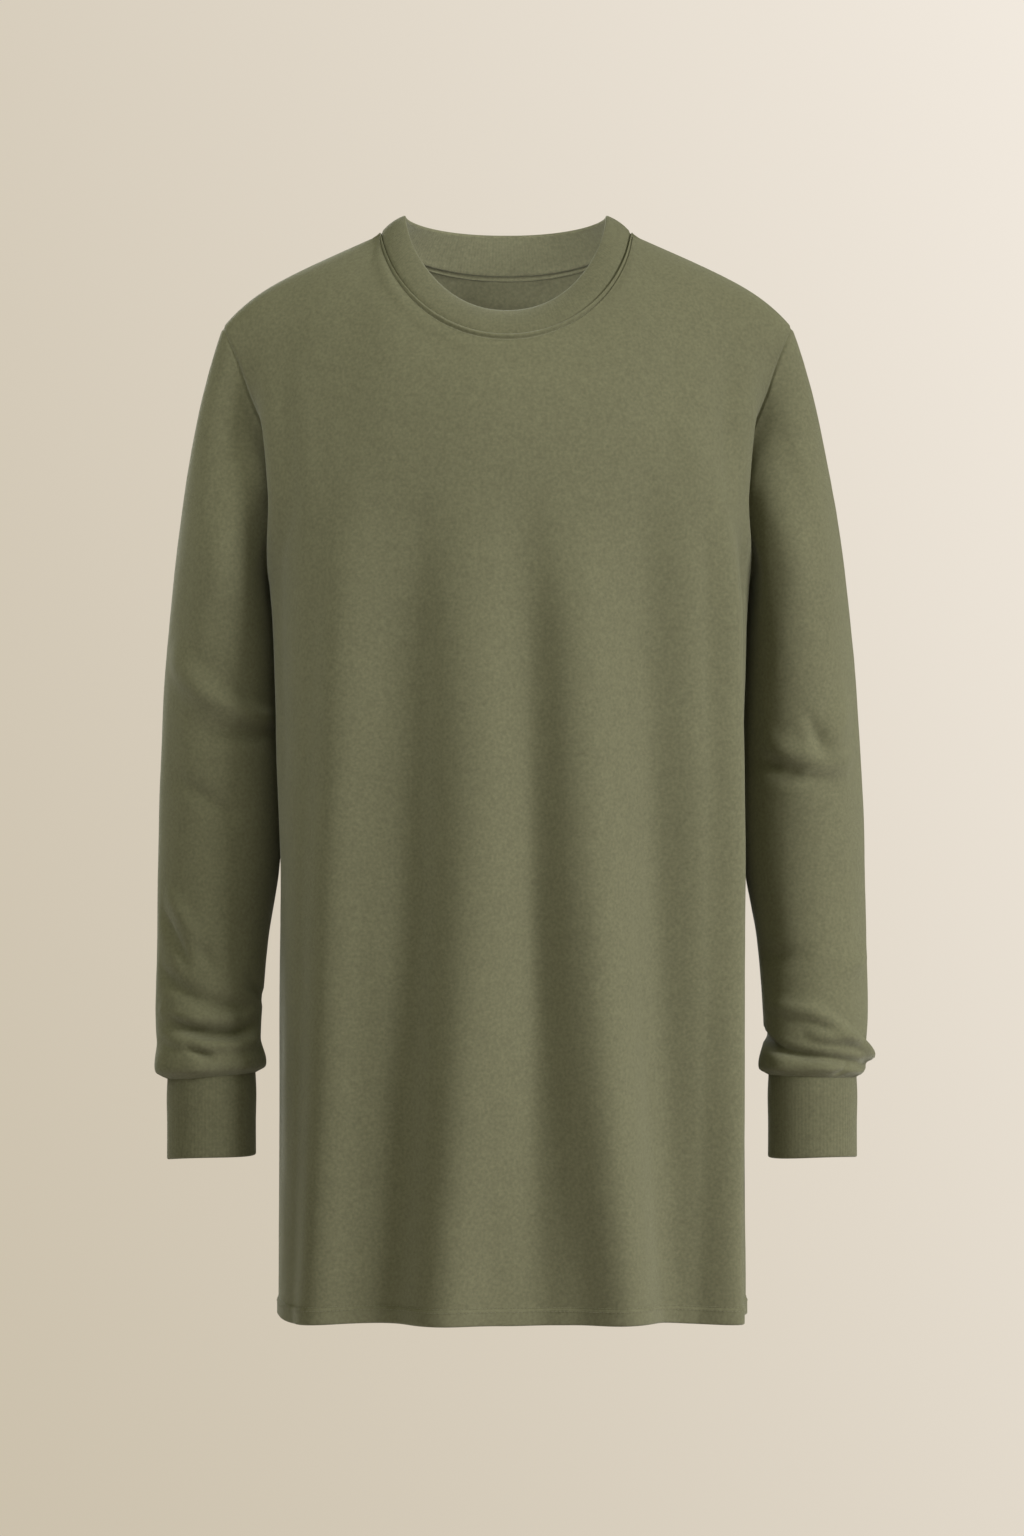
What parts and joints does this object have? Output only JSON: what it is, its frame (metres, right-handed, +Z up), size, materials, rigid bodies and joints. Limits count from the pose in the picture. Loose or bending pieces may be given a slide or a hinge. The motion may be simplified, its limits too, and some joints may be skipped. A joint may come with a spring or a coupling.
{
  "type": "long-sleeve t-shirt",
  "caption": "Long-line crew-neck t-shirt in plain jersey with long sleeves, ribbed collar and cuffs and a turned hem, filled out as when worn with the sleeves hanging.",
  "frame": {"origin": "middle of the neck opening, level with the high points of the shoulders, where the garment is held on its wearer", "axes": "+Z up, the chest faces -Y, the wearer's left is +X"},
  "size_m": [0.5543, 0.2521, 0.8582],
  "materials": {
    "front_cloth": "matt olive jersey",
    "back_cloth": "matt olive jersey",
    "sleeve_left_cloth": "matt olive jersey",
    "sleeve_right_cloth": "matt olive jersey",
    "cuff_left_cloth": "matt olive rib",
    "cuff_right_cloth": "matt olive rib",
    "collar_cloth": "matt olive rib"
  },
  "bodies": {
    "root": {"front": "front_cloth", "back": "back_cloth", "sleeve_left": "sleeve_left_cloth", "sleeve_right": "sleeve_right_cloth", "cuff_left": "cuff_left_cloth", "cuff_right": "cuff_right_cloth", "collar": "collar_cloth"}
  },
  "joints": []
}
